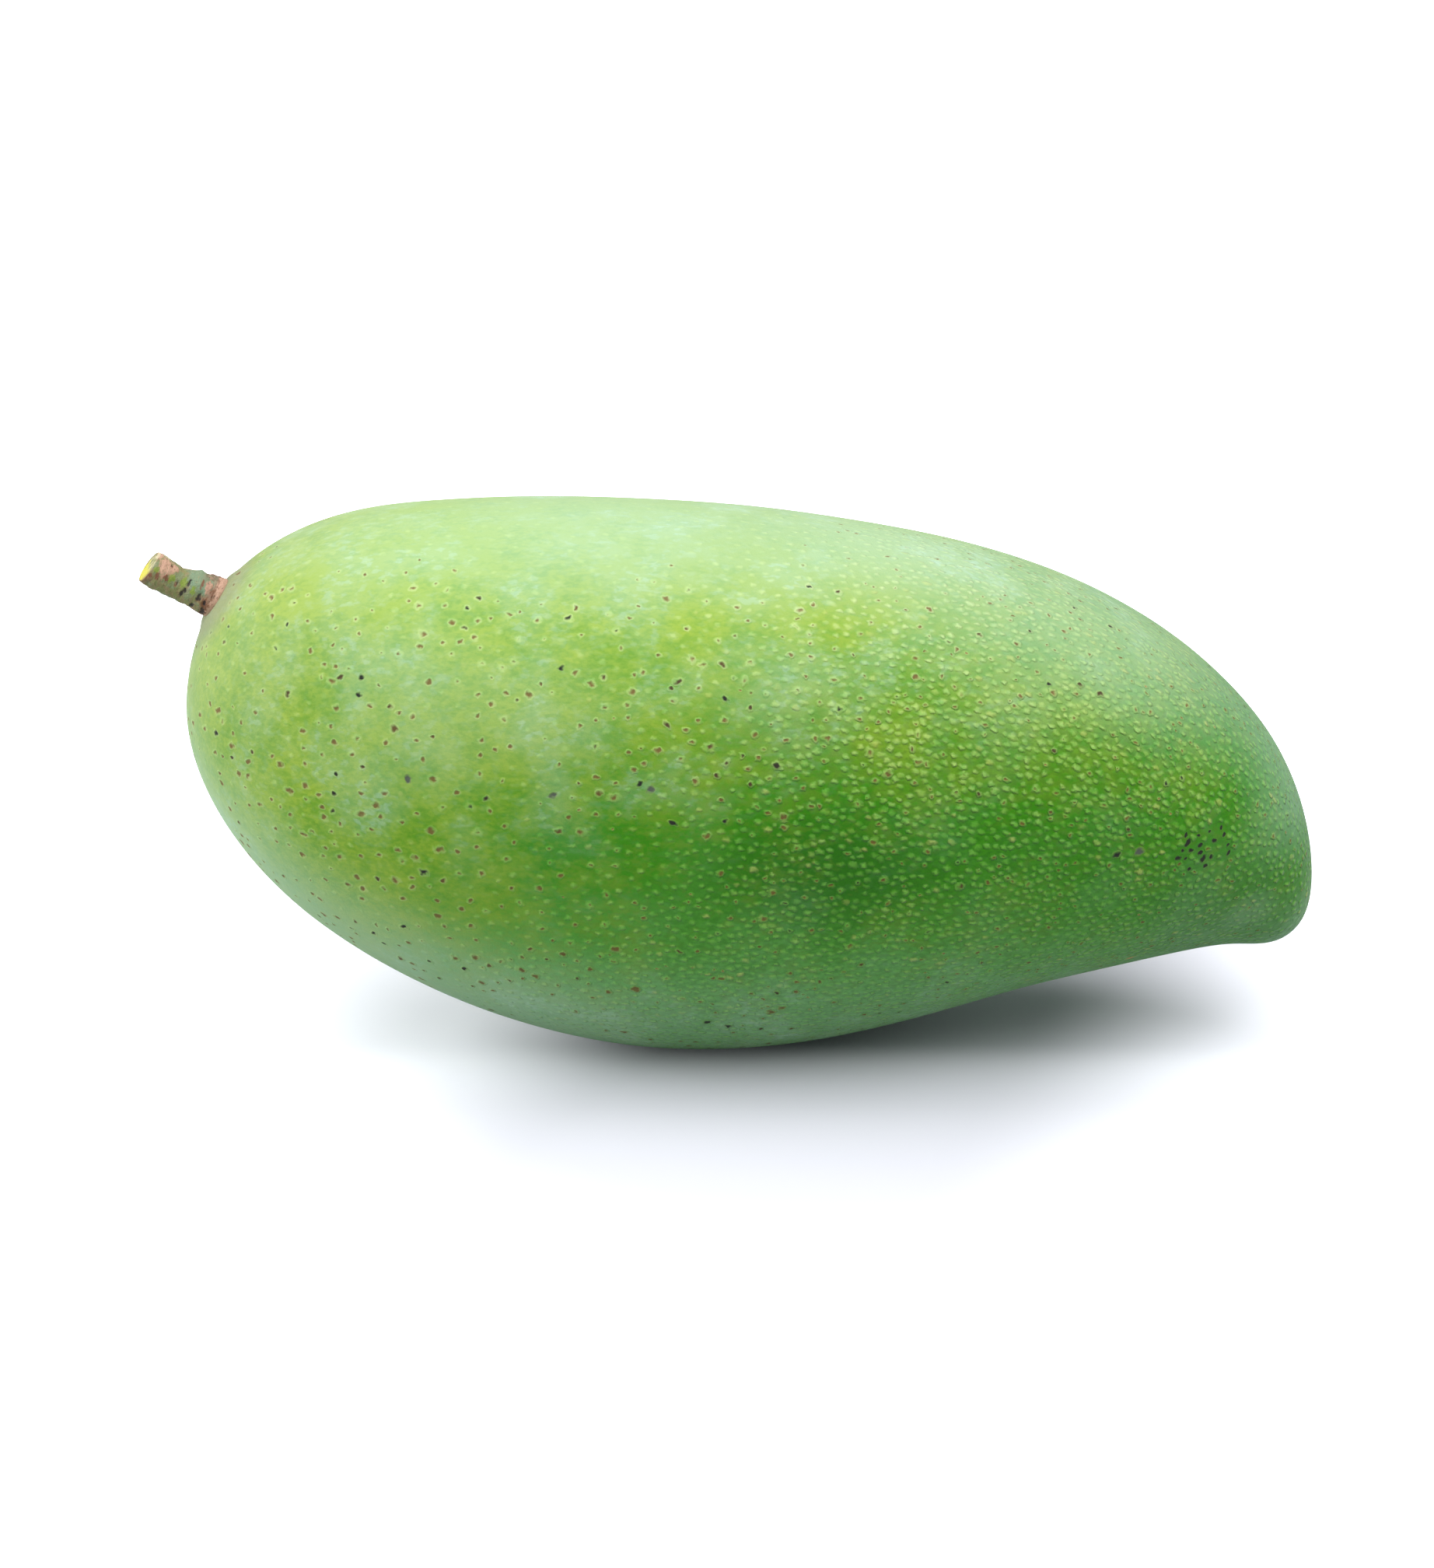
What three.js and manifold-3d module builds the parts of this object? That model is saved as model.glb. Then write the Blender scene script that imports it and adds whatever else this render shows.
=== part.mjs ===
// A long green mango, picked with a short stub of its stalk.
// It lies on the narrow edge of its belly, stalk end up and beak low, on a small flat spot.
// Millimetres, +Z up, +X from the stalk towards the beak. The core plane of the fruit is Y = 0.
import * as THREE from 'three';
import { mergeVertices } from 'three/addons/utils/BufferGeometryUtils.js';
import Module from 'manifold-3d';

const wasm = await Module();
wasm.setup();

// ---------------------------------------------------------------- driving dimensions

// Outline of the fruit in its middle plane, as [x, z] stations from the stalk over the back
// to the beak, and from the beak along the belly to the stalk again.
const STALK_FOOT = [-65.4, 59.6];
const BACK = [
  [-58.4, 65.9],
  [-48.0, 70.0],
  [-30.0, 71.4],
  [-10.0, 71.0],
  [10.0, 69.0],
  [30.0, 65.3],
  [47.0, 58.9],
  [60.5, 50.3],
  [70.0, 39.8],
  [74.6, 28.8],
];
const BEAK_TIP = [75.4, 19.8];
const BELLY = [
  [74.0, 14.4],
  [71.2, 12.2],
  [66.0, 12.6],
  [56.0, 11.4],
  [40.0, 8.2],
  [22.0, 3.1],
  [8.0, 0.0],
  [-4.0, -0.9],
  [-16.0, 0.0],
  [-32.0, 4.6],
  [-47.0, 12.1],
  [-58.9, 21.8],
  [-66.9, 33.4],
  [-69.6, 44.6],
];

// Cross sections: width over height of the cheeks near the stalk, at the middle and at the beak.
const CHEEK_STALK = 0.88;
const CHEEK_MIDDLE = 0.82;
const CHEEK_BEAK = 1.0;
const CHEEK_MIDDLE_AT = 0.5; // place along the fruit where the flattest section is
const CHEEK_BEAK_AT = 0.9; // and where the beak's round section begins
const CHEEK_FULLNESS = 2.12; // exponent of the superellipse, 2 is a plain ellipse
const BELLY_TAPER_STALK = 0.03; // how much narrower the belly half is than the back half
const BELLY_TAPER_BEAK = 0.1;

// The shallow hollow on each cheek where the beak stands off the belly (the sinus).
const SINUS_ALONG = 0.885; // place along the fruit, 0 at the stalk, 1 at the beak
const SINUS_ROUND = 0.7; // place round the section, 0 at the back, 1 at the belly
const SINUS_DEPTH = 0.7;
const SINUS_REACH_ALONG = 0.05;
const SINUS_REACH_ROUND = 0.12;

const RINGS = 48; // sections along the fruit
const RING_POINTS = 64; // points round each section
const OUTLINE_DIVISIONS = 2000; // short steps that the outline's length is measured in

// Stalk stub, as [distance from the skin, radius] from its root in the flesh to past its cut.
const STALK_LIFT = THREE.MathUtils.degToRad(25.7); // above the horizontal, away from the fruit
const STALK_PROFILE = [
  [-1.8, 2.3],
  [-0.6, 2.75],
  [0.4, 2.85],
  [1.3, 2.6],
  [2.5, 2.45],
  [3.6, 2.18],
  [5.4, 2.12],
  [7.6, 2.16],
  [10.6, 2.18],
];
const STALK_LENGTH = 9.0;
const STALK_SIDES = 32;
const STALK_CUT_BACK = THREE.MathUtils.degToRad(12); // the knife cut isn't square: it leans back
const STALK_CUT_SIDE = THREE.MathUtils.degToRad(5); // and a little to the -Y side
const ROOT_STATIONS = 4; // stations of the profile that the socket in the flesh follows
const SOCKET_GAP = 0.3; // clear space between the stalk's root and the flesh

// Blocks that cut things off: each is only large enough to cover what it takes away.
const WASTE_SIZE = 20;
const FLOOR_SIZE = 200;
const MERGE_DISTANCE = 1e-4;

// ---------------------------------------------------------------- solids and booleans

function toSolid(geometry) {
  const bare = new THREE.BufferGeometry();
  bare.setAttribute('position', geometry.getAttribute('position').clone());
  bare.setIndex(geometry.getIndex());
  const merged = mergeVertices(bare, MERGE_DISTANCE);
  return new wasm.Manifold(new wasm.Mesh({
    numProp: 3,
    vertProperties: new Float32Array(merged.getAttribute('position').array),
    triVerts: new Uint32Array(merged.getIndex().array),
  }));
}

function toGeometry(solid) {
  const mesh = solid.getMesh();
  const geometry = new THREE.BufferGeometry();
  geometry.setAttribute('position', new THREE.BufferAttribute(mesh.vertProperties, 3));
  geometry.setIndex(new THREE.BufferAttribute(mesh.triVerts, 1));
  geometry.computeVertexNormals();
  return geometry;
}

// ---------------------------------------------------------------- fruit

const inPlane = ([x, z]) => new THREE.Vector3(x, 0, z);

// One smooth closed line round the middle plane, cut at the stalk and at the beak tip into the
// back and the belly, which are both read from the stalk to the beak.
const outline = new THREE.CatmullRomCurve3(
  [STALK_FOOT, ...BACK, BEAK_TIP, ...BELLY].map(inPlane), true, 'centripetal');
outline.arcLengthDivisions = OUTLINE_DIVISIONS;

function alongOutline(station) {
  const lengths = outline.getLengths();
  const step = Math.round((station / outline.points.length) * OUTLINE_DIVISIONS);
  return lengths[step] / lengths[OUTLINE_DIVISIONS];
}

const beakAt = alongOutline(BACK.length + 1);
const backPoint = (along) => outline.getPointAt(beakAt * along);
const bellyPoint = (along) => outline.getPointAt(1 - (1 - beakAt) * along);

const smooth = (a, b, t) => THREE.MathUtils.lerp(a, b, THREE.MathUtils.smoothstep(t, 0, 1));
const bell = (t, centre, reach) => Math.exp(-(((t - centre) / reach) ** 2));

function widthOverHeight(along) {
  const towardsBeak = (along - CHEEK_MIDDLE_AT) / (CHEEK_BEAK_AT - CHEEK_MIDDLE_AT);
  return along < CHEEK_MIDDLE_AT
    ? smooth(CHEEK_STALK, CHEEK_MIDDLE, along / CHEEK_MIDDLE_AT)
    : smooth(CHEEK_MIDDLE, CHEEK_BEAK, towardsBeak);
}

// A point of the skin. round runs from 0 at the back over one cheek to 1 at the belly and on
// to 2 over the other cheek.
function skinPoint(along, round) {
  const back = backPoint(along);
  const belly = bellyPoint(along);
  const centre = back.clone().add(belly).multiplyScalar(0.5);
  const up = back.clone().sub(centre);
  const angle = Math.PI * round;
  const squircle = (value) => Math.sign(value) * Math.abs(value) ** (2 / CHEEK_FULLNESS);
  const height = squircle(Math.cos(angle));
  const taper = smooth(BELLY_TAPER_STALK, BELLY_TAPER_BEAK, along);
  const side = squircle(Math.sin(angle)) * (1 + taper * Math.cos(angle));
  const fromBack = round <= 1 ? round : 2 - round;
  const hollow = SINUS_DEPTH * bell(along, SINUS_ALONG, SINUS_REACH_ALONG)
    * bell(fromBack, SINUS_ROUND, SINUS_REACH_ROUND);
  const halfWidth = up.length() * widthOverHeight(along);
  const point = centre.addScaledVector(up, height);
  point.y = side * halfWidth - Math.sign(side) * hollow;
  return point;
}

function fruitGeometry() {
  const points = [skinPoint(0, 0)];
  for (let ring = 1; ring < RINGS; ring += 1) {
    const along = (1 - Math.cos((Math.PI * ring) / RINGS)) / 2;
    for (let step = 0; step < RING_POINTS; step += 1) {
      points.push(skinPoint(along, (2 * step) / RING_POINTS));
    }
  }
  points.push(skinPoint(1, 0));

  const faces = [];
  const at = (ring, step) => 1 + (ring - 1) * RING_POINTS + (step % RING_POINTS);
  const last = points.length - 1;
  for (let step = 0; step < RING_POINTS; step += 1) {
    faces.push(0, at(1, step), at(1, step + 1));
    faces.push(last, at(RINGS - 1, step + 1), at(RINGS - 1, step));
    for (let ring = 1; ring < RINGS - 1; ring += 1) {
      faces.push(at(ring, step), at(ring + 1, step), at(ring, step + 1));
      faces.push(at(ring, step + 1), at(ring + 1, step), at(ring + 1, step + 1));
    }
  }
  const geometry = new THREE.BufferGeometry().setFromPoints(points);
  geometry.setIndex(faces);
  return geometry;
}

// ---------------------------------------------------------------- stalk

// Turns a shape made along +Y, with its foot at the origin, to the stalk's place on the skin.
function placeOnSkin(geometry) {
  geometry.rotateZ(Math.PI / 2 - STALK_LIFT);
  geometry.rotateX(Math.PI / 2);
  geometry.translate(STALK_FOOT[0], 0, STALK_FOOT[1]);
  return geometry;
}

function turned(profile, sides) {
  const points = profile.map(([height, radius]) => new THREE.Vector2(radius, height));
  points.unshift(new THREE.Vector2(0, profile[0][0]));
  points.push(new THREE.Vector2(0, profile[profile.length - 1][0]));
  return new THREE.LatheGeometry(points, sides);
}

function stalkSolid() {
  const waste = new THREE.BoxGeometry(WASTE_SIZE, WASTE_SIZE, WASTE_SIZE);
  waste.translate(0, WASTE_SIZE / 2, 0);
  waste.rotateX(STALK_CUT_SIDE);
  waste.rotateZ(-STALK_CUT_BACK);
  waste.translate(0, STALK_LENGTH, 0);
  return toSolid(placeOnSkin(turned(STALK_PROFILE, STALK_SIDES)))
    .subtract(toSolid(placeOnSkin(waste)));
}

function socketSolid() {
  const profile = STALK_PROFILE.slice(0, ROOT_STATIONS)
    .map(([height, radius]) => [height, radius + SOCKET_GAP]);
  profile[0][0] -= SOCKET_GAP;
  return toSolid(placeOnSkin(turned(profile, STALK_SIDES)));
}

// ---------------------------------------------------------------- the object

// Everything below the floor is cut away, which leaves the small flat spot that it rests on.
function floorSolid() {
  const block = new THREE.BoxGeometry(FLOOR_SIZE, FLOOR_SIZE, WASTE_SIZE);
  block.translate(0, 0, -WASTE_SIZE / 2);
  return toSolid(block);
}

const fruit = new THREE.Mesh(
  toGeometry(toSolid(fruitGeometry()).subtract(floorSolid()).subtract(socketSolid())),
  new THREE.MeshStandardMaterial({ color: 0x7fb24f, roughness: 0.45, metalness: 0 }),
);
fruit.name = 'fruit';

const stalk = new THREE.Mesh(
  toGeometry(stalkSolid()),
  new THREE.MeshStandardMaterial({ color: 0x8f7650, roughness: 0.85, metalness: 0 }),
);
stalk.name = 'stalk';

// The origin is on the floor, under the middle of the whole object.
const mango = new THREE.Group();
mango.name = 'mango';
mango.add(fruit, stalk);
const box = new THREE.Box3().setFromObject(mango);
mango.position.x = -(box.min.x + box.max.x) / 2;

export default mango;
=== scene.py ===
import math

import bpy
import numpy as np
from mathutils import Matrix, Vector, kdtree, noise


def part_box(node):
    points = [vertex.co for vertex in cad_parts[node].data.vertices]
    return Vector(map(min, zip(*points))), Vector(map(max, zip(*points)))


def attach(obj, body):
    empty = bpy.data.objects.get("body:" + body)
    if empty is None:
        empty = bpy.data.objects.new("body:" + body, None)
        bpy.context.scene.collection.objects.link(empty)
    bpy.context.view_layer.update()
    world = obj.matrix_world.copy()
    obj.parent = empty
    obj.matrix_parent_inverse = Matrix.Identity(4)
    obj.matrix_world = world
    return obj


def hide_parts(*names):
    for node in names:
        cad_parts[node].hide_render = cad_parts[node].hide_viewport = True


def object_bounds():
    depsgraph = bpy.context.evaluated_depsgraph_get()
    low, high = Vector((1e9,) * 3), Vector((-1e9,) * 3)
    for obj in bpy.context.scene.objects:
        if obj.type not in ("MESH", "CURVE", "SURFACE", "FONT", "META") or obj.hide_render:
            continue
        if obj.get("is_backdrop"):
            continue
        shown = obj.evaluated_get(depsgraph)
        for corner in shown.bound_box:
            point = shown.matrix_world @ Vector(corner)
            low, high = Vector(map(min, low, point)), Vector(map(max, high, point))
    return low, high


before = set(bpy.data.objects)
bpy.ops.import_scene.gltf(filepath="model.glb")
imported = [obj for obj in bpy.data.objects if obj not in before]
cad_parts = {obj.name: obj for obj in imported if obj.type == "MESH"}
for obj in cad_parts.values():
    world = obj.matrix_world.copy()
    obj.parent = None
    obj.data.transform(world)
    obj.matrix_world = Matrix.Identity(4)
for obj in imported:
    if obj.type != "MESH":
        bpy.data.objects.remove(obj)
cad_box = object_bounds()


# ---------------------------------------------------------------- the studio
# A white sweep under three soft lamps: one broad and overhead, one low at the left and one at the
# right. The sweep glows to pure white away from the fruit. Nearer to the fruit the glow is painted
# light, which lightens the fruit's soft shadow towards its two ends and in a strip before its foot.
SWEEP_SIZE = 6.0
SWEEP_PAINT = (0.60, 0.60, 0.66, 1.0)
SWEEP_BOUNCE = (0.38, 0.43, 0.42, 1.0)  # what the fruit sees of it
GLOW_MIDDLE = (0.012, 0.0, 0.0)
# Painted light on the shadow: the glow grows towards the fruit's two ends: slant of its edge, where
# it starts, where it is full, and its strength. In a strip before the foot it starts, is full and
# stops again.
GLOW_LEFT = (-0.6, -0.002, -0.038, 0.40)
GLOW_RIGHT = (-0.3, 0.038, 0.074, 0.44)
GLOW_FRONT = (-0.005, -0.013, -0.026, 0.08)
GLOW_ROUND = (0.050, 0.115)  # and further out all is white
GLOW_TINT = (0.94, 0.97, 1.0, 1.0)
SKY_SEEN = 1.0
SKY_ROUND = 0.20  # faint light from all round the room
SKY_BACK = 0.17  # more of it, from the white wall behind
SKY_FRONT = 0.18  # and from in front
SKY_BACK_FROM = (0.3, 0.9)  # how squarely a ray goes backwards where that light starts and is full
SKY_FRONT_FROM = (-0.4, -0.9)
SKY_TINT = (0.93, 0.97, 1.0, 1.0)
SKY_WHITE = (1.0, 1.0, 1.0, 1.0)
LAMP_AIM = Vector((0.0, 0.0, 0.03))
LAMPS = (  # name, place, size, power in watts
    ("overhead_box", Vector((-0.10, -0.15, 1.0)), 1.6, 16.8),
    ("left_box", Vector((-0.85, -0.03, 0.30)), 0.8, 8.5),
    ("right_box", Vector((0.55, -0.22, 0.62)), 0.6, 3.9),
)


def only(thing):
    """Makes one object the only selected and the active one."""
    if bpy.context.object and bpy.context.object.mode != "OBJECT":
        bpy.ops.object.mode_set(mode="OBJECT")
    bpy.ops.object.select_all(action="DESELECT")
    thing.select_set(True)
    bpy.context.view_layer.objects.active = thing


def node(tree, kind, inputs=(), **settings):
    """Adds a shader node. Each input is a value, or the output socket that feeds it."""
    made = tree.nodes.new("ShaderNode" + kind)
    for name, value in settings.items():
        setattr(made, name, value)
    for key, value in dict(inputs).items():
        if isinstance(value, bpy.types.NodeSocket):
            tree.links.new(value, made.inputs[key])
        else:
            made.inputs[key].default_value = value
    return made


def reckon(tree, operation, *values):
    """One step of arithmetic on numbers, as an output socket."""
    return node(tree, "Math", enumerate(values), operation=operation).outputs[0]


def rise(tree, value, low, high):
    """0 below low and 1 above high, with a smooth change between them. low may be the larger."""
    inputs = {"Value": value, "From Min": low, "From Max": high}
    return node(tree, "MapRange", inputs, interpolation_type="SMOOTHSTEP").outputs["Result"]


bpy.ops.mesh.primitive_plane_add(size=SWEEP_SIZE)
sweep = bpy.context.object
sweep.name = "studio_sweep"
sweep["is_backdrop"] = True

paint = bpy.data.materials.new("white_sweep")
paint.use_nodes = True
tree = paint.node_tree
tree.nodes.clear()
place = node(tree, "TexCoord").outputs["Object"]
way = node(tree, "VectorMath", {0: place, 1: GLOW_MIDDLE}, operation="SUBTRACT").outputs[0]
from_middle = node(tree, "VectorMath", {0: way}, operation="LENGTH").outputs["Value"]
axes = node(tree, "SeparateXYZ", {0: place}).outputs
strength = rise(tree, from_middle, *GLOW_ROUND)
# Painted light: towards the fruit's ends and before its foot the glow lightens its shadow.
for slant, start, stop, most in (GLOW_LEFT, GLOW_RIGHT):
    lengthwise = reckon(tree, "MULTIPLY_ADD", axes["Y"], slant, axes["X"])
    strength = reckon(tree, "MULTIPLY_ADD", rise(tree, lengthwise, start, stop), most, strength)
start, middle, stop, most = GLOW_FRONT
strip = rise(tree, axes["Y"], start, middle)
strip = reckon(tree, "MULTIPLY", strip, rise(tree, axes["Y"], stop, middle))
strength = reckon(tree, "MULTIPLY_ADD", strip, most, strength)
seen = node(tree, "LightPath").outputs["Is Camera Ray"]
lit = node(tree, "BsdfDiffuse", {"Color": SWEEP_PAINT})
dim = node(tree, "BsdfDiffuse", {"Color": SWEEP_BOUNCE})
glow = node(tree, "Emission", {"Color": GLOW_TINT, "Strength": strength})
shown = node(tree, "AddShader", {0: lit.outputs[0], 1: glow.outputs[0]})
either = node(tree, "MixShader", {0: seen, 1: dim.outputs[0], 2: shown.outputs[0]})
node(tree, "OutputMaterial", {"Surface": either.outputs[0]})
sweep.data.materials.append(paint)

sky = bpy.data.worlds.new("white_studio")
sky.use_nodes = True
bpy.context.scene.world = sky
tree = sky.node_tree
tree.nodes.clear()
seen = node(tree, "LightPath").outputs["Is Camera Ray"]
skyward = node(tree, "SeparateXYZ", {0: node(tree, "TexCoord").outputs["Generated"]}).outputs
strength = reckon(tree, "MULTIPLY_ADD", rise(tree, skyward["Y"], *SKY_BACK_FROM), SKY_BACK, SKY_ROUND)
strength = reckon(tree, "MULTIPLY_ADD", rise(tree, skyward["Y"], *SKY_FRONT_FROM), SKY_FRONT, strength)
fill = node(tree, "Background", {"Color": SKY_TINT, "Strength": strength})
white = node(tree, "Background", {"Color": SKY_WHITE, "Strength": SKY_SEEN})
either = node(tree, "MixShader", {0: seen, 1: fill.outputs[0], 2: white.outputs[0]})
node(tree, "OutputWorld", {"Surface": either.outputs[0]})

for title, place, size, watts in LAMPS:
    lamp = bpy.data.lights.new(title, "AREA")
    lamp.shape = "SQUARE"
    lamp.size = size
    lamp.energy = watts
    soft_box = bpy.data.objects.new(title, lamp)
    soft_box.location = place
    soft_box.rotation_euler = (LAMP_AIM - place).to_track_quat("-Z", "Y").to_euler()
    bpy.context.scene.collection.objects.link(soft_box)

bpy.context.scene.view_settings.view_transform = "Standard"


# ---------------------------------------------------------------- the camera
# It stands square to the fruit's side and looks down at it. About ten pixels of the 1844 x 2016
# frame are one millimetre at the fruit.
FRAME_TALL = 2016
FRAME_WIDE = 1844
SENSOR_WIDTH = 36.0
PIXELS_PER_METRE = 10030.0
CAMERA_DISTANCE = 0.8
CAMERA_ABOVE = math.radians(22.0)
AIM = Vector((0.0, 0.0, 0.036))
AIM_PIXEL = (939.8, 988.8)  # where that point of the core plane lies in the frame

eye = bpy.data.cameras.new("camera")
eye.sensor_width = SENSOR_WIDTH
eye.lens = eye.sensor_width * CAMERA_DISTANCE * PIXELS_PER_METRE / FRAME_TALL
camera = bpy.data.objects.new("camera", eye)
ahead = Vector((0.0, math.cos(CAMERA_ABOVE), -math.sin(CAMERA_ABOVE)))
upward = Vector((0.0, math.sin(CAMERA_ABOVE), math.cos(CAMERA_ABOVE)))
aside = Vector(((FRAME_WIDE / 2 - AIM_PIXEL[0]) / PIXELS_PER_METRE, 0.0, 0.0))
lower = upward * ((AIM_PIXEL[1] - FRAME_TALL / 2) / PIXELS_PER_METRE)
camera.location = AIM - ahead * CAMERA_DISTANCE + aside + lower
camera.rotation_euler = ahead.to_track_quat("-Z", "Y").to_euler()
bpy.context.scene.collection.objects.link(camera)
bpy.context.scene.camera = camera


# ---------------------------------------------------------------- the fruit
# Skin, flesh and stone grew as one piece, so this is one closed body: the waxy skin, drawn over
# the solid fruit as a fine even net, with the slow unevenness that a grown skin has.
SKIN_CUTS = 31  # cuts across each side of the cube that becomes the skin
SKIN_FINER = 2  # subdivision steps after it lies on the fruit
SKIN_START = 0.98  # size of the drawn-out ball inside the fruit's box, before it lies on the fruit
SKIN_RELAXINGS = (12, 4)  # smoothing steps after each time that it is laid on
SKIN_EVENING = 0.5
SAME_PLACE = 1e-6
SOCKET_FOOT = Vector((-0.0656, 0.0, 0.0596))  # where the stalk leaves the skin
STALK_LIFT = math.radians(25.7)
SOCKET_RADIUS = 0.0033
FRUIT_TILT = math.radians(9.0)  # the long axis drops towards the beak
UNEVEN_DEPTH = 0.00035
UNEVEN_SIZE = 0.022
FLOOR_CALM = 0.01  # below this height the unevenness fades out
LIP_HEIGHT = 0.00035
LIP_WIDTH = 0.0011
BEAK_CORNER = Vector((0.0712, 0.0, 0.0148))  # the beak is fuller here, low at its end
BEAK_FULLER = Vector((0.0011, 0.0, -0.0010))
BEAK_REACH = 0.0060

stalk_way = Vector((-math.cos(STALK_LIFT), 0.0, math.sin(STALK_LIFT)))


def from_stalk_axis(point):
    """Distance of a point from the stalk's axis, and its height along the axis above the skin."""
    reach = Vector(point) - SOCKET_FOOT
    height = reach.dot(stalk_way)
    return (reach - stalk_way * height).length, height


def finish_modifiers(thing):
    """Applies all modifiers of one object, in order."""
    only(thing)
    for modifier in list(thing.modifiers):
        bpy.ops.object.modifier_apply(modifier=modifier.name)


# The solid fruit, with its stalk socket closed, is the mould that the skin is drawn over.
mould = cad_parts["fruit"].copy()
mould.data = mould.data.copy()
mould.parent = None
bpy.context.scene.collection.objects.link(mould)
only(mould)
bpy.ops.object.mode_set(mode="EDIT")
bpy.ops.mesh.select_mode(type="FACE")
bpy.ops.mesh.select_all(action="SELECT")
bpy.ops.mesh.remove_doubles(threshold=SAME_PLACE)
bpy.ops.mesh.select_all(action="DESELECT")
bpy.ops.object.mode_set(mode="OBJECT")
for face in mould.data.polygons:
    away, height = from_stalk_axis(face.center)
    face.select = away < SOCKET_RADIUS and abs(height) < SOCKET_RADIUS
bpy.ops.object.mode_set(mode="EDIT")
bpy.ops.mesh.delete(type="FACE")
bpy.ops.mesh.select_mode(type="EDGE")
bpy.ops.mesh.select_non_manifold()
bpy.ops.mesh.edge_face_add()
bpy.ops.object.mode_set(mode="OBJECT")

low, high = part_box("fruit")
middle, half = (low + high) / 2, (high - low) / 2
bpy.ops.object.select_all(action="DESELECT")
bpy.ops.mesh.primitive_cube_add(size=2.0)
skin = bpy.context.object
skin.name = "fruit_skin"
bpy.ops.object.mode_set(mode="EDIT")
bpy.ops.mesh.select_all(action="SELECT")
bpy.ops.mesh.subdivide(number_cuts=SKIN_CUTS)
bpy.ops.object.mode_set(mode="OBJECT")
ball = skin.modifiers.new("ball", "CAST")
ball.cast_type = "SPHERE"
ball.factor = 1.0
ball.radius = 0.0
finish_modifiers(skin)
only(skin)
bpy.ops.object.mode_set(mode="EDIT")
bpy.ops.mesh.select_all(action="SELECT")
bpy.ops.transform.resize(value=half * (SKIN_START / max(v.co.length for v in skin.data.vertices)))
bpy.ops.transform.rotate(value=-FRUIT_TILT, orient_axis="Y", center_override=(0.0, 0.0, 0.0))
bpy.ops.transform.translate(value=middle)
bpy.ops.object.mode_set(mode="OBJECT")
for relax in SKIN_RELAXINGS:
    drawn = skin.modifiers.new("drawn", "SHRINKWRAP")
    drawn.target = mould
    drawn.wrap_method = "NEAREST_SURFACEPOINT"
    even = skin.modifiers.new("even", "SMOOTH")
    even.factor = SKIN_EVENING
    even.iterations = relax
finer = skin.modifiers.new("finer", "SUBSURF")
finer.levels = SKIN_FINER
finer.render_levels = SKIN_FINER
finish_modifiers(skin)
bpy.data.objects.remove(mould)


def corners(mesh):
    """The vertices of a mesh as an array."""
    flat = np.empty(len(mesh.vertices) * 3, np.float32)
    mesh.vertices.foreach_get("co", flat)
    return flat.reshape(-1, 3).astype(float)


# The unevenness only goes inwards, and it leaves the flat spot alone. Round the stalk the skin
# rises to a low lip, and the end of the beak is a little fuller than the plain solid.
places = corners(skin.data)
facing = np.empty(len(places) * 3, np.float32)
skin.data.vertices.foreach_get("normal", facing)
facing = facing.reshape(-1, 3)
swell = np.array([noise.noise(Vector(p) / UNEVEN_SIZE) for p in places])
clear_of_floor = np.clip(places[:, 2] / FLOOR_CALM, 0.0, 1.0)
depth = UNEVEN_DEPTH * (0.5 - 0.5 * swell) * clear_of_floor
from_socket = np.linalg.norm(places - np.array(SOCKET_FOOT), axis=1)
depth -= LIP_HEIGHT * np.exp(-((from_socket - SOCKET_RADIUS) / LIP_WIDTH) ** 2)
places -= facing * depth[:, None]
from_corner = np.linalg.norm(places - np.array(BEAK_CORNER), axis=1)
places += np.array(BEAK_FULLER) * np.exp(-(from_corner / BEAK_REACH) ** 2)[:, None]
skin.data.vertices.foreach_set("co", places.astype(np.float32).ravel())
skin.data.update()
only(skin)
bpy.ops.object.shade_smooth()

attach(skin, "root")
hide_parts("fruit")

# Thousands of breathing pores dot the skin: small pale raised dots, close together towards the
# beak and the belly, and corky ones with a brown heart and a pale rim on the stalk's half.
PORE_SEED = 11
PORE_CANDIDATES = 290000
PORE_CELL = 0.0016
CORKY_CANDIDATES = 22000
TUFT_SIZE = 0.007  # the corky ones stand in loose groups of about this size
NEIGHBOURS = 6  # pores that each face of the net looks at
DENSE_FROM, DENSE_TO, DENSE_LEAN = 0.20, 0.62, 0.34  # where the pale dots crowd, see closeness()
DENSE_LEVEL = 0.55
GRAIN_SLANT = (6.0, 30.0)  # degrees that the dots slant down, at the stalk's half and at the beak
GRAIN_TURN = (-0.02, 0.065)  # where along the fruit one slant goes over into the other
CORK_GAP, CORK_GAP_MORE = 0.0011, 0.0018  # clear space round a corky pore, by luck
CORK_SIZE, CORK_SIZE_MORE = 0.00042, 0.00030
CORK_SMALLER = 0.00006  # towards the beak
CORK_SHARE = 0.42  # greatest share of the tried places that get one
CORK_BACK_Z, CORK_BELLY_Z, CORK_BEAK_X = (0.069, 0.060), (0.010, 0.032), (0.0, 0.04)
FAINT_Z, FAINT_X = (0.046, 0.062), (0.0, 0.03)  # where the brown hearts turn smaller
DOT_GAP, DOT_GAP_APART, DOT_GAP_LUCK = 0.00086, 0.0011, 0.00014
DOT_SIZE, DOT_SIZE_LUCK, DOT_SIZE_DENSE = 0.00030, 0.00014, 0.00003
BROWN_DOTS = 0.06  # up to this share of the small dots has a brown heart, above a height
BROWN_DOTS_ABOVE = 0.012
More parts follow.
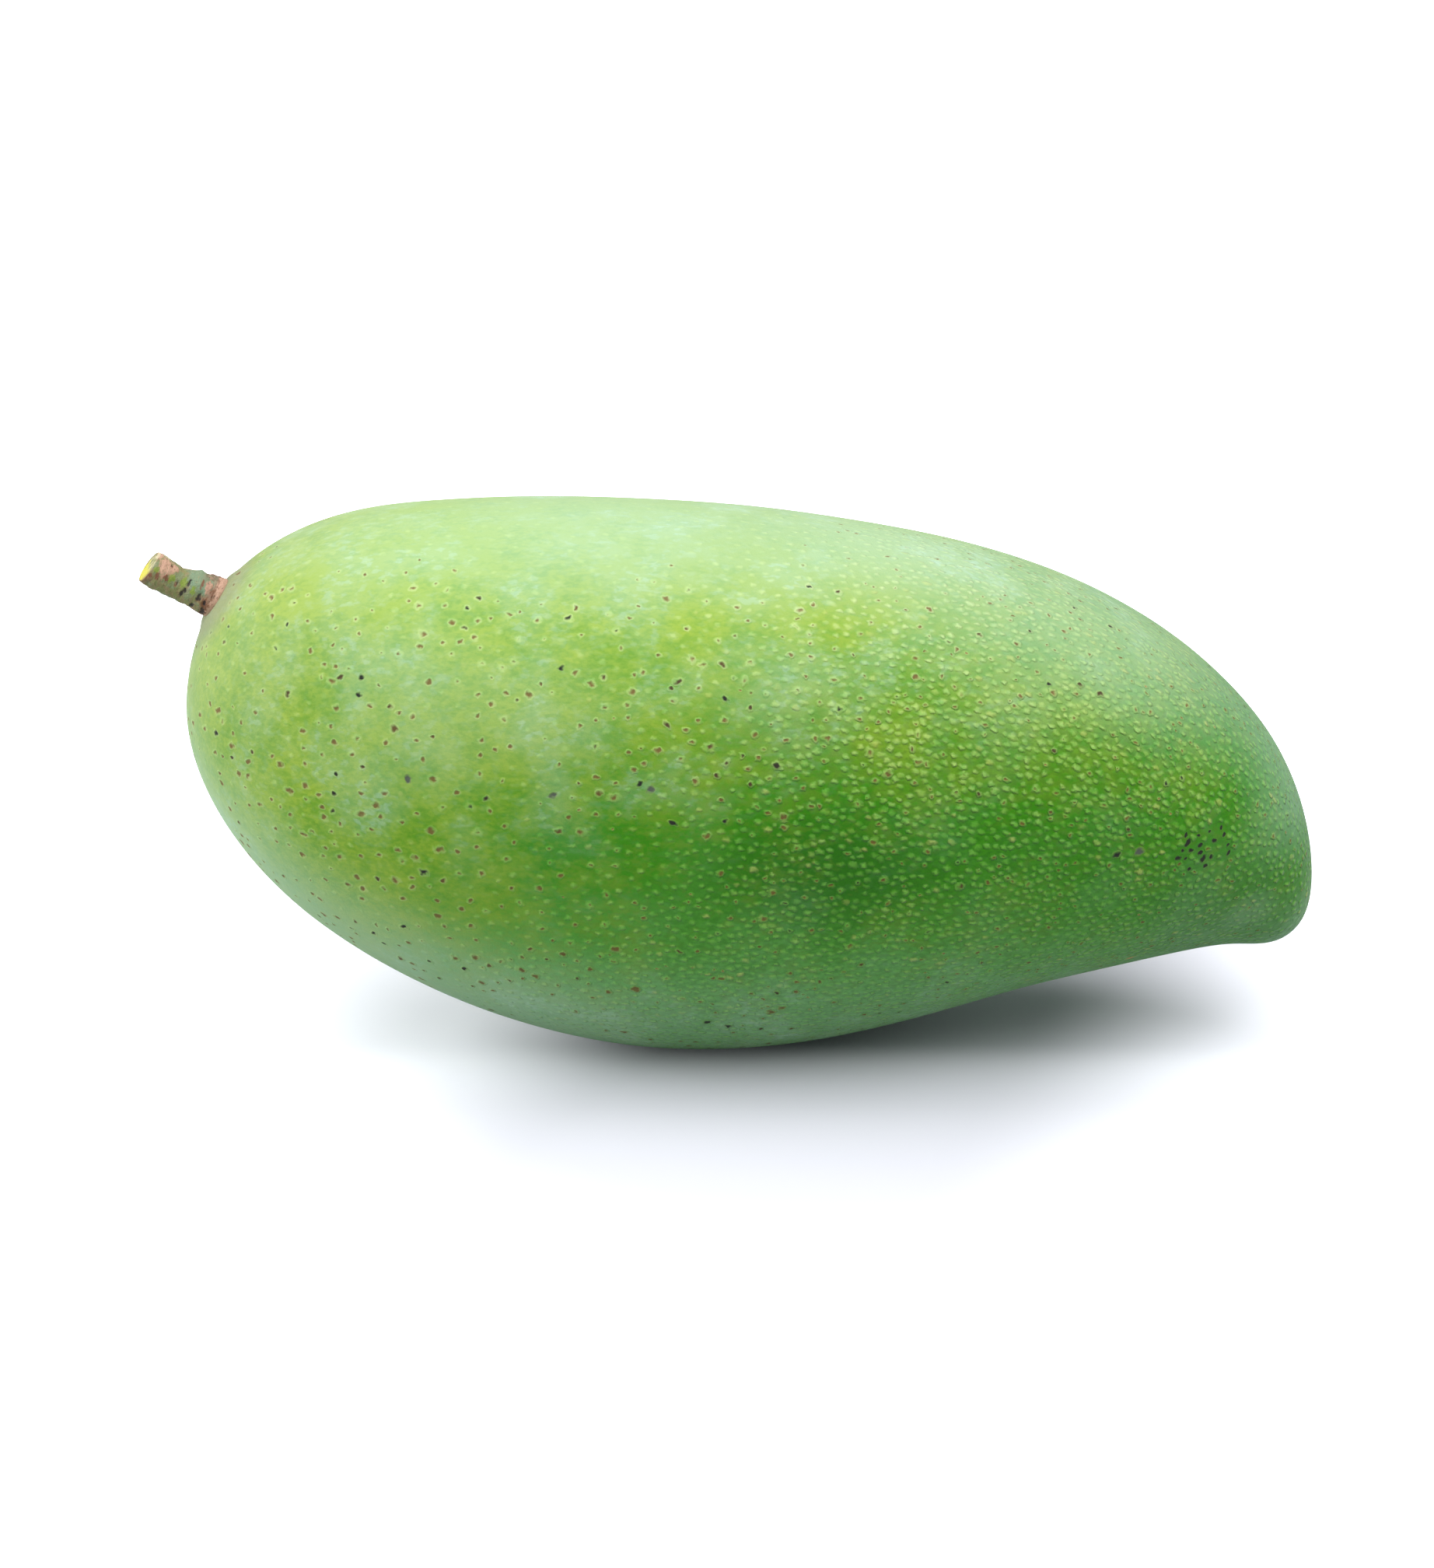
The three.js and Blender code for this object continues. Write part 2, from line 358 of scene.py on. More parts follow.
PORE_KINDS = {  # brown share of the radius, tone from red-brown to blue-black, strength of the rim
    "cork": (0.55, 0.15, 1.0),
    "burnt": (0.55, 0.55, 0.9),
    "black": (0.62, 0.90, 0.5),
    "nick": (0.74, 0.74, 0.25),
    "grey": (0.70, 1.30, 0.30),
    "rosy": (0.60, -0.60, 0.6),
}
# The cheek's largest marks: place along and above the floor, radius, length over width, slant in
# degrees, and kind.
LARGE_MARKS = {
    "grey scar by the beak": (0.051, 0.034, 0.00066, 1.2, 0, "grey"),
    "dash high by the beak": (0.046, 0.053, 0.00055, 2.0, -8, "burnt"),
    "corky spot beside the dash": (0.040, 0.054, 0.00056, 1.2, 70, "cork"),
    "rosy spot low by the beak": (0.051, 0.015, 0.00060, 1.8, -5, "rosy"),
    "black speck on the back": (-0.021, 0.059, 0.00052, 1.1, 0, "black"),
    "grey scar in the middle": (-0.010, 0.045, 0.00062, 1.2, -60, "grey"),
    "grey scar left of it": (-0.022, 0.044, 0.00058, 1.3, -10, "grey"),
    "grey scar by the stalk": (-0.040, 0.045, 0.00052, 1.4, 55, "grey"),
}
# Smaller dark marks are scattered in patches of the cheek. Each patch has its middle, its half
# length and half height, how many marks it holds, their least and greatest radius, and their kinds.
MARK_SEED = 5
MARK_GAP = 0.0010
MARK_SLANT = 60.0  # greatest slant either way, in degrees
MARK_PATCHES = {
    "middle": ((-0.005, 0.049), (0.012, 0.009), 11, (0.00038, 0.00052), ("black", "burnt", "burnt")),
    "beak half": ((0.040, 0.043), (0.013, 0.013), 10, (0.00036, 0.00050), ("burnt", "black", "cork")),
    "by the stalk": ((-0.046, 0.053), (0.010, 0.008), 4, (0.00046, 0.00052), ("black", "burnt")),
    "nicks at the beak": ((0.0595, 0.0330), (0.0040, 0.0032), 19, (0.00022, 0.00046), ("nick",)),
}

rng = np.random.default_rng(PORE_SEED)
mesh = skin.data
quads = np.empty(len(mesh.loops), np.int32)
mesh.loops.foreach_get("vertex_index", quads)
quads = quads.reshape(-1, 4)


def smoothstep(low_end, high_end, value):
    t = np.clip((value - low_end) / (high_end - low_end), 0.0, 1.0)
    return t * t * (3.0 - 2.0 * t)


def closeness(points):
    """How dense the pores stand: 0 at the stalk's shoulder, 1 at the beak and along the belly."""
    along = (points[:, 0] - low.x) / (high.x - low.x)
    up = points[:, 2] / high.z
    return smoothstep(DENSE_FROM, DENSE_TO, along + DENSE_LEAN * (DENSE_LEVEL - up))


taken = {}
pores = []


def cell_of(point):
    return tuple((point // PORE_CELL).astype(int))


def room_for(point, gap):
    """True if no pore stands nearer than the gap."""
    home = cell_of(point)
    span = int(gap / PORE_CELL) + 1
    reach = range(-span, span + 1)
    for i in reach:
        for j in reach:
            for k in reach:
                for other in taken.get((home[0] + i, home[1] + j, home[2] + k), ()):
                    dx, dy, dz = other[0] - point[0], other[1] - point[1], other[2] - point[2]
                    if dx ** 2 + dy ** 2 + dz ** 2 < gap * gap:
                        return False
    return True


def set_pore(point, size, kind, stretch, slant):
    """Keeps a pore: its place, radius, look, and how it is drawn out along the skin."""
    taken.setdefault(cell_of(point), []).append(tuple(point))
    pores.append((*point, size, *kind, stretch, math.radians(slant)))


def on_cheek(x, z):
    """The place on the near cheek at x along and z above the floor."""
    return np.array(skin.ray_cast(Vector((x, -1.0, z)), Vector((0.0, 1.0, 0.0)))[1])


bpy.context.view_layer.update()
for x, z, size, stretch, slant, kind in LARGE_MARKS.values():
    set_pore(on_cheek(x, z), size, PORE_KINDS[kind], stretch, slant)
mark_luck = np.random.default_rng(MARK_SEED)
for middle, half, count, sizes, kinds in MARK_PATCHES.values():
    while count > 0:
        way = mark_luck.uniform(-1.0, 1.0, 2)
        fatness, length, turn, pick = mark_luck.random(4)
        place = on_cheek(middle[0] + half[0] * way[0], middle[1] + half[1] * way[1])
        if np.hypot(*way) > 1.0 or not room_for(place, MARK_GAP):
            continue
        size = sizes[0] + (sizes[1] - sizes[0]) * fatness
        kind = PORE_KINDS[kinds[int(pick * len(kinds))]]
        set_pore(place, size, kind, 1.0 + length ** 2, MARK_SLANT * (2.0 * turn - 1.0))
        count -= 1

picks = rng.integers(0, len(quads), PORE_CANDIDATES)
weights = rng.dirichlet(np.ones(4), PORE_CANDIDATES)
candidates = (places[quads[picks]] * weights[:, :, None]).sum(axis=1)
dense = closeness(candidates)
beakward = smoothstep(*GRAIN_TURN, candidates[:, 0])
slants = GRAIN_SLANT[0] + (GRAIN_SLANT[1] - GRAIN_SLANT[0]) * beakward
luck = rng.random((PORE_CANDIDATES, 5))

# The corky pores come first. They are rare on the top of the back and small beyond the middle.
cork_wanted = smoothstep(*CORK_BACK_Z, candidates[:, 2])
cork_wanted *= 1.0 - 0.70 * smoothstep(*CORK_BEAK_X, candidates[:, 0])
cork_wanted *= 0.30 + 0.70 * smoothstep(*CORK_BELLY_Z, candidates[:, 2])
tufts = np.array([noise.noise(Vector(p) / TUFT_SIZE) for p in candidates[:CORKY_CANDIDATES]])
cork_wanted[:CORKY_CANDIDATES] *= 0.25 + 1.6 * smoothstep(-0.25, 0.35, tufts)
faint = smoothstep(*FAINT_Z, candidates[:, 2])
faint = np.maximum(faint, smoothstep(*FAINT_X, candidates[:, 0]))
for index in range(CORKY_CANDIDATES):
    chance = luck[index]
    gap = CORK_GAP + CORK_GAP_MORE * chance[1]
    if chance[0] > CORK_SHARE * cork_wanted[index] or not room_for(candidates[index], gap):
        continue
    size = CORK_SIZE + CORK_SIZE_MORE * chance[2] ** 2 - CORK_SMALLER * beakward[index]
    heart = (0.42 + 0.20 * chance[3]) * (1.0 - 0.25 * faint[index])
    tone = 0.9 * chance[4] ** 3 - 0.1
    rim = 0.9
    if chance[3] < 0.30 + 0.45 * dense[index]:
        heart = (0.20 + 0.5 * chance[3]) * (1.0 - 0.3 * faint[index])
        rim = 0.7
    set_pore(candidates[index], size, (heart, tone, rim), 1.0 + 0.5 * chance[0], slants[index])

# The small pale dots fill the rest, closer together where the pores are dense.
for index in range(CORKY_CANDIDATES, PORE_CANDIDATES):
    chance = luck[index]
    gap = DOT_GAP + DOT_GAP_APART * (1.0 - dense[index]) ** 1.5 + DOT_GAP_LUCK * chance[0]
    if chance[1] > 0.50 + 0.50 * dense[index] or not room_for(candidates[index], gap):
        continue
    size = DOT_SIZE + DOT_SIZE_LUCK * chance[2] + DOT_SIZE_DENSE * dense[index] * chance[3]
    rim = (0.52 + 0.28 * dense[index]) * (0.35 + 0.65 * chance[4])
    kind = (0.0, chance[3], rim)
    if chance[0] < BROWN_DOTS * dense[index] and candidates[index, 2] > BROWN_DOTS_ABOVE:
        kind = (0.26 + 0.2 * chance[1], -0.4 + 0.8 * chance[2], rim)
    set_pore(candidates[index], size, kind, 1.25 + 0.5 * beakward[index] * chance[3], slants[index])
pores = np.array(pores)

# Each face of the net knows the two pores that stand nearest to it. Its corners hold their way
# from a pore in pore radii, and the face holds the pore's look.
pore_tree = kdtree.KDTree(len(pores))
for index, pore in enumerate(pores):
    pore_tree.insert(pore[:3], index)
pore_tree.balance()
near = np.empty((len(quads), NEIGHBOURS), int)
for index, spot in enumerate(places[quads].mean(axis=1)):
    near[index] = [hit[1] for hit in pore_tree.find_n(spot, NEIGHBOURS)]


def way_from_pore(points, which):
    """The way from pores to points in pore radii, shortened the way the pores are drawn out."""
    here = pores[which]
    lengthwise = np.stack([np.cos(here[..., 8]), 0.0 * here[..., 8], -np.sin(here[..., 8])], axis=-1)
    ways = points - here[..., :3]
    along = (ways * lengthwise).sum(axis=-1, keepdims=True)
    ways = ways - along * lengthwise * (1.0 - 1.0 / here[..., 7:8])
    return ways / here[..., 3:4]


middles = places[quads].mean(axis=1)[:, None, :]
order = np.argsort(np.linalg.norm(way_from_pore(middles, near), axis=2), axis=1)
for place_in_order, letter in enumerate("ab"):
    nearest = np.take_along_axis(near, order, axis=1)[:, place_in_order]
    here = pores[nearest]
    ways = way_from_pore(places[quads], nearest[:, None])
    mesh.attributes.new("pore_way_" + letter, "FLOAT_VECTOR", "CORNER").data.foreach_set(
        "vector", ways.astype(np.float32).ravel())
    mesh.attributes.new("pore_look_" + letter, "FLOAT_VECTOR", "FACE").data.foreach_set(
        "vector", here[:, 4:7].astype(np.float32).ravel())

# Under a thin matt bloom of wax the skin is yellow-green where the sun reached it, on the back
# and round the stalk, and leaf green along the cheek and towards the beak. A band of deepest green
# along the cheek and under the beak is painted shade, and some of the pale bloom is painted light.
LEAF_GREEN = (0.042, 0.228, 0.001, 1.0)
# The darkest green stands for shade: it is painted shade, on the cheek and between the dots.
PAINTED_SHADE_GREEN = (0.015, 0.122, 0.001, 1.0)
BELLY_GREEN = (0.112, 0.352, 0.055, 1.0)
SUNNY_GREEN = (0.262, 0.388, 0.032, 1.0)
# The bloom's colour, also used for painted sheen, rim light, reflection and bounce light.
BLOOM_AND_PAINTED_LIGHT = (0.40, 0.57, 0.44, 1.0)
SHADE_BAND_AT = (0.0072, 0.0, 0.034)  # middle of the painted shade band of deepest green, in lengths drawn out along the fruit
PORE_LEAFY = (0.19, 0.46, 0.065, 1.0)
PORE_SUNNY = (0.46, 0.60, 0.200, 1.0)
PORE_PALE = (0.80, 0.86, 0.52, 1.0)
PORE_TINTED = (0.44, 0.50, 0.13, 1.0)
PORE_ROSY = (0.62, 0.24, 0.14, 1.0)
PORE_BROWN = (0.135, 0.052, 0.016, 1.0)
PORE_BLACK = (0.020, 0.022, 0.016, 1.0)
PORE_GREY = (0.085, 0.100, 0.075, 1.0)
STALK_STAIN = (0.25, 0.235, 0.15, 1.0)
# A pair named _X or _Z is a stretch along the fruit or above the floor, over which one look goes
# over into another. A LEAN tilts such a stretch along the fruit.
# The deepest green along the cheek is painted shade: how its distances are squeezed along the fruit, where
# it starts, where it is full, and its strength.
SHADE_BAND_SQUAT, SHADE_BAND_REACH, SHADE_BAND_FULL, SHADE_BAND_MOST = 0.6, 0.012, 0.002, 0.75
# Painted shade under the beak: its stretch along the fruit, its stretch above the floor, and its strength.
SHADE_UNDER_BEAK_X, SHADE_UNDER_BEAK_Z, SHADE_UNDER_BEAK = (0.046, 0.064), (0.038, 0.024), 0.35
BELLY_Z = (0.036, 0.013)
# How much sun a place has had, from 0 for leaf green to 1 for the full yellow-green.
BACK_Z, BACK_MIDWAY_X, BACK_BEAK_X = (0.0355, 0.0535), (-0.035, 0.015), (0.020, 0.060)
SUN_BACK, SUN_BACK_MIDWAY, SUN_BACK_BEAK = 0.72, -0.14, -0.11
TOP_Z, TOP_MIDWAY_X = (0.057, 0.070), (-0.030, 0.010)
SUN_TOP, SUN_TOP_MIDWAY = 0.20, 0.22
FLANK_X, SUN_STALK_FLANK = (0.006, -0.064), 0.82
PATCH_SIZE, FRECKLE_SIZE, STREAK_SIZE, DRAWN_OUT = 0.010, 0.0016, 0.0005, (0.6, 1.0, 1.0)
SUN_PATCHES, SUN_FRECKLE, SUN_STREAKS = 0.22, 0.24, 0.24
# Spots on either cheek that had more sun, or less where the strength is negative: place, reach
# and strength. The spots of thicker bloom are given in the same way.
SUN_SPOTS = (
    ((0.0575, 0.015, 0.0410), 0.0090, 0.14),
    ((0.040, 0.022, 0.0430), 0.0100, 0.16),
    ((-0.023, 0.028, 0.0335), 0.0090, -0.15),
)
WAX_SPOTS = (
    ((0.059, 0.017, 0.0235), 0.0075, 0.05),  # in the hollow between beak and belly: bloom, and partly a painted highlight on the hollow
    # below the beak: bloom, and partly a painted highlight
    ((0.0655, 0.010, 0.0215), 0.0055, 0.16),
    ((-0.038, 0.023, 0.054), 0.0170, 0.13),
    ((-0.022, 0.025, 0.053), 0.0120, 0.08),
    ((0.004, 0.020, 0.055), 0.0130, 0.10),
)
SHOULDER_X, SHOULDER_Z = (0.022, -0.032), (0.046, 0.058)
LEFT_END_X, WAX_SHOULDER = (-0.050, -0.062), 0.04
# Along the top the pale bloom is partly a painted sheen.
SHEEN_TOP_X, SHEEN_TOP_Z, WAX_AND_SHEEN_TOP, WAX_AND_SHEEN_TOP_MIDWAY = (-0.052, -0.012), (0.062, 0.072), 0.20, 0.26
# At the stalk's end the pale veil is bloom, and partly a painted reflection.
STALK_END_X, WAX_AND_REFLECTION_STALK_END = (-0.062, -0.073), 0.16
# Over the beak the pale edge is bloom, and partly a painted sheen.
SHEEN_OVER_BEAK_LEAN, SHEEN_OVER_BEAK_Z, SHEEN_OVER_BEAK_X, WAX_AND_SHEEN_OVER_BEAK = 0.44, (0.066, 0.081), (-0.010, 0.020), 0.42
# At the beak's end the pale rim is bloom, and partly a painted rim light.
RIM_LIGHT_BEAK_END_X, RIM_LIGHT_BEAK_END_Z, WAX_AND_RIM_LIGHT_BEAK_END = (0.062, 0.073), (0.024, 0.036), 0.32
# Low on the belly the pale bloom is partly painted light bounced up from the floor.
LOW_X, LOW_Z, WAX_AND_BOUNCE_LOW, WAX_AND_BOUNCE_LOW_STALKWARD = (-0.004, -0.024), (0.025, 0.006), 0.26, 0.24
BELLY_CURVE_FROM, BELLY_CURVE = -0.010, -7.4  # the low belly's bloom and painted bounce light climb towards the stalk
WAX_PATCH_SIZE, WAX_PATCHES = 0.009, 0.16
FINE_WAX_SIZE, WAX_FINE, WAX_FINE_PATCHES = 0.0009, 0.05, 0.20
# A belt along the cheek, which leans up towards the beak, has less of both, so that the painted
# shade band there stays deep green.
SHADE_BELT_LEAN, SHADE_BELT_TOP_Z, SHADE_BELT_FOOT_Z = -0.24, (0.051, 0.038), (0.011, 0.024)
SHADE_BELT_PATCHES, SHADE_BELT_FINE = -0.75, -0.60
SKIN_ROUGH, WAX_ROUGHER, HEART_ROUGHER = 0.42, 0.35, 0.3
STAIN_NEAR, STAIN_CLOSE = (0.0090, 0.0038), 0.50  # distance from the stalk's foot, and strength
STAIN_FAR, STAIN_WIDE = (0.034, 0.006), 0.22
RAGGED_SCALE = 1300.0
RAGGED_BEND = 1.4  # in pore radii
DOT_EDGE, DOT_FULL, DOT_FULL_HEART = 1.25, 0.25, 0.4  # in pore radii
HEART_EDGE = (0.36, -0.30)
HEART_STRENGTH, HEART_BLACKER = 0.86, 0.14
# Painted shade between the crowded dots: its least depth, how much the streaks add, the stretch above the
# floor where it fades, and how much less it is high up.
SHADE_BETWEEN_DOTS, SHADE_BETWEEN_DOTS_STREAKS, SHADE_BETWEEN_DOTS_Z, SHADE_BETWEEN_DOTS_HIGH_UP = 0.12, 0.40, (0.048, 0.062), -0.7
PALER, PALER_CROWDED, PALER_Z = 0.10, 0.35, (0.052, 0.066)
DOT_STRENGTH = 0.80
WAX_OFF_DOTS = -0.3
TONE_TINTED, TONE_ROSY, TONE_BLACK, TONE_GREY = (0.92, 0.98), (-0.2, -0.6), (0.25, 0.75), (1.0, 1.3)
GRAIN_SCALE, GRAIN_RELIEF = 2600.0, 0.15
DOT_RELIEF, DOT_RELIEF_CROWDED, DOT_RELIEF_Z, DOT_RELIEF_HIGH_UP = 0.22, 0.95, (0.046, 0.060), -0.35
HEART_RELIEF = -0.35
SKIN_RELIEF = 0.00029  # metres for a relief of 1


def mix(tree, share, first, second):
    """Blends two colours, as an output socket."""
    made = node(tree, "Mix", data_type="RGBA")
    for key, value in ((0, share), (6, first), (7, second)):
        if isinstance(value, bpy.types.NodeSocket):
            tree.links.new(value, made.inputs[key])
        else:
            made.inputs[key].default_value = value
    return made.outputs[2]


# One group makes the soft-edged blotches of the skin and of the bark.
blotches = bpy.data.node_groups.new("blotches", "ShaderNodeTree")
blotches.interface.new_socket("Vector", in_out="INPUT", socket_type="NodeSocketVector")
for title in ("Size", "Detail", "Low", "High"):
    blotches.interface.new_socket(title, in_out="INPUT", socket_type="NodeSocketFloat")
blotches.interface.new_socket("Mask", in_out="OUTPUT", socket_type="NodeSocketFloat")
given = blotches.nodes.new("NodeGroupInput").outputs
finest = reckon(blotches, "DIVIDE", 1.0, given["Size"])
spread = node(blotches, "TexNoise", {
    "Vector": given["Vector"], "Scale": finest, "Detail": given["Detail"],
})
mask = node(blotches, "MapRange", {
    "Value": spread.outputs["Fac"], "From Min": given["Low"], "From Max": given["High"],
}, interpolation_type="SMOOTHSTEP").outputs["Result"]
blotches.links.new(mask, blotches.nodes.new("NodeGroupOutput").inputs["Mask"])


def blotch(tree, where, size, detail=2.0, low_end=0.35, high_end=0.65):
    """Soft blotches of about that size in metres, from 0 to 1."""
    inputs = {"Vector": where, "Size": size, "Detail": detail, "Low": low_end, "High": high_end}
    return node(tree, "Group", inputs, node_tree=blotches).outputs["Mask"]


def attribute(tree, title, output):
    return node(tree, "Attribute", attribute_name=title).outputs[output]


waxy = bpy.data.materials.new("waxy_green_skin")
waxy.use_nodes = True
tree = waxy.node_tree
tree.nodes.clear()
where = node(tree, "TexCoord").outputs["Object"]
axes = node(tree, "SeparateXYZ", {0: where}).outputs
x, z = axes["X"], axes["Z"]
patches = blotch(tree, where, PATCH_SIZE, 4.0, 0.38, 0.62)
drawn_out = node(tree, "Mapping", {"Vector": where, "Scale": DRAWN_OUT}).outputs[0]
freckle = blotch(tree, drawn_out, FRECKLE_SIZE, 3.0, 0.38, 0.62)
streaks = blotch(tree, drawn_out, STREAK_SIZE, 2.0, 0.38, 0.62)
dense_shift = DENSE_LEVEL * DENSE_LEAN - low.x / (high.x - low.x)
up = reckon(tree, "MULTIPLY_ADD", z, -DENSE_LEAN / high.z, dense_shift)
along = reckon(tree, "MULTIPLY_ADD", x, 1.0 / (high.x - low.x), up)
crowded = rise(tree, along, DENSE_FROM, DENSE_TO)

# How much sun a place has had: its back, the top of its back, and the flank by the stalk.
back = reckon(tree, "MULTIPLY_ADD", rise(tree, x, *BACK_MIDWAY_X), SUN_BACK_MIDWAY, SUN_BACK)
back = reckon(tree, "MULTIPLY_ADD", rise(tree, x, *BACK_BEAK_X), SUN_BACK_BEAK, back)
top = reckon(tree, "MULTIPLY_ADD", rise(tree, x, *TOP_MIDWAY_X), SUN_TOP_MIDWAY, SUN_TOP)
back = reckon(tree, "MULTIPLY_ADD", rise(tree, z, *TOP_Z), top, back)
flank = reckon(tree, "MULTIPLY", rise(tree, x, *FLANK_X), SUN_STALK_FLANK)
above = rise(tree, z, *BACK_Z)
sunny = reckon(tree, "MULTIPLY_ADD", reckon(tree, "SUBTRACT", back, flank), above, flank)
cheek = node(tree, "CombineXYZ", {"X": x, "Y": reckon(tree, "ABSOLUTE", axes["Y"]), "Z": z}).outputs[0]
for spot, reach, most in SUN_SPOTS:
    to_spot = node(tree, "VectorMath", {0: cheek, 1: spot}, operation="DISTANCE").outputs["Value"]
    sunny = reckon(tree, "MULTIPLY_ADD", rise(tree, to_spot, reach, 0.25 * reach), most, sunny)
for pattern, most in ((patches, SUN_PATCHES), (freckle, SUN_FRECKLE), (streaks, SUN_STREAKS)):
    sunny = reckon(tree, "MULTIPLY_ADD", reckon(tree, "SUBTRACT", pattern, 0.5), most, sunny)
shaded = mix(tree, rise(tree, z, *BELLY_Z), LEAF_GREEN, BELLY_GREEN)
# Painted shade: a band of deepest green along the cheek darkens the green.
squat = node(tree, "CombineXYZ", {"X": reckon(tree, "MULTIPLY", x, SHADE_BAND_SQUAT), "Z": z}).outputs[0]
to_shade_band = node(tree, "VectorMath", {0: squat, 1: SHADE_BAND_AT}, operation="DISTANCE").outputs["Value"]
painted_shade = reckon(tree, "MULTIPLY", rise(tree, to_shade_band, SHADE_BAND_REACH, SHADE_BAND_FULL), SHADE_BAND_MOST)
# More painted shade under the beak.
shade_under_beak = reckon(tree, "MULTIPLY", rise(tree, x, *SHADE_UNDER_BEAK_X), rise(tree, z, *SHADE_UNDER_BEAK_Z))
painted_shade = reckon(tree, "MULTIPLY_ADD", shade_under_beak, SHADE_UNDER_BEAK, painted_shade)
green = mix(tree, sunny, mix(tree, painted_shade, shaded, PAINTED_SHADE_GREEN), SUNNY_GREEN)

# How thick the bloom of wax is: on the back, at both ends, low on the belly, and in the hollow
# by the beak. The same mask also paints light in the bloom's colour: a sheen along the top and
# over the beak, a rim light at the beak's end, a reflection at the stalk's end, light bounced
# from the floor low on the belly, and a highlight in the hollow.
shoulder = reckon(tree, "MULTIPLY", rise(tree, z, *SHOULDER_Z), rise(tree, x, *SHOULDER_X))
left_end = rise(tree, x, *LEFT_END_X)
wax_and_painted_light = reckon(tree, "MULTIPLY", reckon(tree, "MAXIMUM", shoulder, left_end), WAX_SHOULDER)
# Along the top: bloom, and partly a painted sheen.
wax_and_sheen_on_top = reckon(tree, "MULTIPLY_ADD", rise(tree, x, *SHEEN_TOP_X), WAX_AND_SHEEN_TOP_MIDWAY, WAX_AND_SHEEN_TOP)
wax_and_painted_light = reckon(tree, "MULTIPLY_ADD", rise(tree, z, *SHEEN_TOP_Z), wax_and_sheen_on_top, wax_and_painted_light)
# At the stalk's end: bloom, and partly a painted reflection.
wax_and_painted_light = reckon(tree, "MULTIPLY_ADD", rise(tree, x, *STALK_END_X), WAX_AND_REFLECTION_STALK_END, wax_and_painted_light)
# Over the beak: bloom, and partly a painted sheen.
wax_and_sheen_over_beak = rise(tree, reckon(tree, "MULTIPLY_ADD", x, SHEEN_OVER_BEAK_LEAN, z), *SHEEN_OVER_BEAK_Z)
wax_and_sheen_over_beak = reckon(tree, "MULTIPLY", wax_and_sheen_over_beak, rise(tree, x, *SHEEN_OVER_BEAK_X))
wax_and_painted_light = reckon(tree, "MULTIPLY_ADD", wax_and_sheen_over_beak, WAX_AND_SHEEN_OVER_BEAK, wax_and_painted_light)
# At the beak's end: bloom, and partly a painted rim light.
wax_and_rim_light_at_beak_end = reckon(tree, "MULTIPLY", rise(tree, x, *RIM_LIGHT_BEAK_END_X), rise(tree, z, *RIM_LIGHT_BEAK_END_Z))
wax_and_painted_light = reckon(tree, "MULTIPLY_ADD", wax_and_rim_light_at_beak_end, WAX_AND_RIM_LIGHT_BEAK_END, wax_and_painted_light)
leftward = reckon(tree, "MAXIMUM", reckon(tree, "SUBTRACT", BELLY_CURVE_FROM, x), 0.0)
belly_at = reckon(tree, "MULTIPLY", reckon(tree, "MULTIPLY", leftward, leftward), BELLY_CURVE)
# Low on the belly: bloom, and partly painted light bounced up from the floor.
low_down = rise(tree, reckon(tree, "ADD", z, belly_at), *LOW_Z)
low_wax_and_bounce = reckon(tree, "MULTIPLY_ADD", rise(tree, x, *LOW_X), WAX_AND_BOUNCE_LOW_STALKWARD, WAX_AND_BOUNCE_LOW)
wax_and_painted_light = reckon(tree, "MULTIPLY_ADD", low_down, low_wax_and_bounce, wax_and_painted_light)
for spot, reach, most in WAX_SPOTS:
    to_spot = node(tree, "VectorMath", {0: cheek, 1: spot}, operation="DISTANCE").outputs["Value"]
    wax_and_painted_light = reckon(tree, "MULTIPLY_ADD", rise(tree, to_spot, reach, 0.25 * reach), most, wax_and_painted_light)
wax_patches = blotch(tree, where, WAX_PATCH_SIZE, 4.0, 0.42, 0.70)
# In the painted shade band along the cheek the wax patches and the fine wax are weaker.
shade_belt = rise(tree, reckon(tree, "MULTIPLY_ADD", x, SHADE_BELT_LEAN, z), *SHADE_BELT_TOP_Z)
shade_belt = reckon(tree, "MULTIPLY", shade_belt, rise(tree, z, *SHADE_BELT_FOOT_Z))
off_shade_belt = reckon(tree, "MULTIPLY_ADD", shade_belt, SHADE_BELT_PATCHES, 1.0)
wax_patches = reckon(tree, "MULTIPLY", wax_patches, off_shade_belt)
fine_wax = blotch(tree, drawn_out, FINE_WAX_SIZE, 3.0, 0.50, 0.66)
wax_and_painted_light = reckon(tree, "MULTIPLY_ADD", wax_patches, WAX_PATCHES, wax_and_painted_light)
fine_share = reckon(tree, "MULTIPLY_ADD", wax_patches, WAX_FINE_PATCHES, WAX_FINE)
fine_wax = reckon(tree, "MULTIPLY", fine_wax, fine_share)
off_shade_belt = reckon(tree, "MULTIPLY_ADD", shade_belt, SHADE_BELT_FINE, 1.0)
fine_wax = reckon(tree, "MULTIPLY", fine_wax, off_shade_belt)
wax_and_painted_light = reckon(tree, "ADD", fine_wax, wax_and_painted_light)
from_stalk = node(tree, "VectorMath", {0: where, 1: SOCKET_FOOT}, operation="DISTANCE").outputs["Value"]
stain = reckon(tree, "MULTIPLY", rise(tree, from_stalk, *STAIN_NEAR), STAIN_CLOSE)
stain = reckon(tree, "MULTIPLY_ADD", rise(tree, from_stalk, *STAIN_FAR), STAIN_WIDE, stain)
ragged = node(tree, "TexNoise", {"Vector": where, "Scale": RAGGED_SCALE, "Detail": 1.0}).outputs["Color"]
